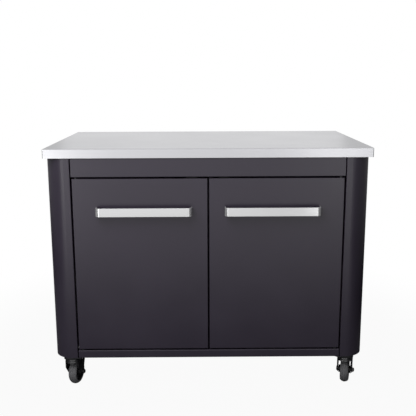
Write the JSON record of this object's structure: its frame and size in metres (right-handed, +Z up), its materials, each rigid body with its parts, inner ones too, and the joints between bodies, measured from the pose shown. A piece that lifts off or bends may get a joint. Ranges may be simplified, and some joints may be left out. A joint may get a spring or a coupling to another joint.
{
  "type": "outdoor kitchen cabinet",
  "caption": "Low outdoor kitchen cart: stainless worktop on a black sheet-steel cabinet with rounded corners, hinged doors with strap handles, on swivel casters.",
  "frame": {"origin": "on the floor, under the middle of the worktop", "axes": "+X to the viewer's right along the worktop, +Y to the back, +Z up"},
  "size_m": [1.2, 0.762, 0.9455],
  "materials": {
    "stainless_top": "brushed stainless steel, fine grain along the length",
    "handle_steel": "brushed stainless strap, satin",
    "black_coat": "satin black powder coat with a fine texture",
    "zinc_steel": "zinc plated steel",
    "black_nylon": "moulded black nylon",
    "grommet_rubber": "soft black rubber",
    "caster_black": "black plated pressed steel, satin",
    "wheel_plastic": "moulded black polypropylene",
    "tyre_rubber": "dark grey solid rubber"
  },
  "bodies": {
    "cabinet": {"worktop": "stainless_top", "worktop_stiffeners": "zinc_steel", "left_side_panel": "black_coat", "right_side_panel": "black_coat", "front_fascia": "black_coat", "bottom_rail": "black_coat", "floor_panel": "black_coat", "top_rear_rail": "black_coat", "back_panel": "black_coat", "hose_grommet": "grommet_rubber", "centre_divider": "black_coat", "right_shelf": "black_coat", "shelf_clips": "black_coat", "magnet_catches": "black_nylon", "pivot_bushes": "black_nylon", "panel_screws": "zinc_steel", "worktop_screws": "zinc_steel", "caster_kingpins": "zinc_steel", "caster_ball_rings": "zinc_steel", "caster_bolts": "caster_black", "front_left_mount_plate": "caster_black", "front_right_mount_plate": "caster_black", "rear_left_mount_plate": "caster_black", "rear_right_mount_plate": "caster_black", "front_left_caster_plate": "caster_black", "front_right_caster_plate": "caster_black", "rear_left_caster_plate": "caster_black", "rear_right_caster_plate": "caster_black"},
    "left_door": {"left_door_skin": "black_coat", "left_door_liner": "black_coat", "left_door_handle": "handle_steel", "left_handle_screws": "zinc_steel", "left_pivot_pins": "caster_black", "left_strike_plate": "caster_black"},
    "right_door": {"right_door_skin": "black_coat", "right_door_liner": "black_coat", "right_door_handle": "handle_steel", "right_handle_screws": "zinc_steel", "right_pivot_pins": "caster_black", "right_strike_plate": "caster_black"},
    "front_left_caster": {"front_left_fork": "caster_black", "front_left_axle": "caster_black"},
    "front_left_wheel": {"front_left_wheel_core": "wheel_plastic", "front_left_tyre": "tyre_rubber"},
    "front_left_brake": {"front_left_brake_pedal": "caster_black"},
    "front_right_caster": {"front_right_fork": "caster_black", "front_right_axle": "caster_black"},
    "front_right_wheel": {"front_right_wheel_core": "wheel_plastic", "front_right_tyre": "tyre_rubber"},
    "front_right_brake": {"front_right_brake_pedal": "caster_black"},
    "rear_left_caster": {"rear_left_fork": "caster_black", "rear_left_axle": "caster_black"},
    "rear_left_wheel": {"rear_left_wheel_core": "wheel_plastic", "rear_left_tyre": "tyre_rubber"},
    "rear_right_caster": {"rear_right_fork": "caster_black", "rear_right_axle": "caster_black"},
    "rear_right_wheel": {"rear_right_wheel_core": "wheel_plastic", "rear_right_tyre": "tyre_rubber"}
  },
  "joints": [
    {"name": "left_door_hinge", "type": "hinge", "parent": "cabinet", "child": "left_door", "pos_m": [-0.486, -0.335, 0.5], "axis": [0, 0, -1], "range_deg": [0, 110]},
    {"name": "right_door_hinge", "type": "hinge", "parent": "cabinet", "child": "right_door", "pos_m": [0.486, -0.335, 0.5], "axis": [0, 0, 1], "range_deg": [0, 110]},
    {"name": "front_left_swivel", "type": "hinge", "parent": "cabinet", "child": "front_left_caster", "pos_m": [-0.535, -0.3, 0.1182], "axis": [0, 0, 1], "continuous": true},
    {"name": "front_left_roll", "type": "hinge", "parent": "front_left_caster", "child": "front_left_wheel", "pos_m": [-0.52855, -0.26968, 0.05], "axis": [0.9781, -0.2079, 0], "continuous": true},
    {"name": "front_left_brake_press", "type": "hinge", "parent": "front_left_caster", "child": "front_left_brake", "pos_m": [-0.52481, -0.25207, 0.107], "axis": [-0.9781, 0.2079, 0], "range_deg": [0, 15]},
    {"name": "front_right_swivel", "type": "hinge", "parent": "cabinet", "child": "front_right_caster", "pos_m": [0.535, -0.3, 0.1182], "axis": [0, 0, 1], "continuous": true},
    {"name": "front_right_roll", "type": "hinge", "parent": "front_right_caster", "child": "front_right_wheel", "pos_m": [0.54406, -0.27036, 0.05], "axis": [0.9563, -0.2924, 0], "continuous": true},
    {"name": "front_right_brake_press", "type": "hinge", "parent": "front_right_caster", "child": "front_right_brake", "pos_m": [0.54933, -0.25314, 0.107], "axis": [-0.9563, 0.2924, 0], "range_deg": [0, 15]},
    {"name": "rear_left_swivel", "type": "hinge", "parent": "cabinet", "child": "rear_left_caster", "pos_m": [-0.535, 0.3, 0.1182], "axis": [0, 0, 1], "continuous": true},
    {"name": "rear_left_roll", "type": "hinge", "parent": "rear_left_caster", "child": "rear_left_wheel", "pos_m": [-0.535, 0.331, 0.05], "axis": [1, 0, 0], "continuous": true},
    {"name": "rear_right_swivel", "type": "hinge", "parent": "cabinet", "child": "rear_right_caster", "pos_m": [0.535, 0.3, 0.1182], "axis": [0, 0, 1], "continuous": true},
    {"name": "rear_right_roll", "type": "hinge", "parent": "rear_right_caster", "child": "rear_right_wheel", "pos_m": [0.535, 0.331, 0.05], "axis": [1, 0, 0], "continuous": true}
  ]
}
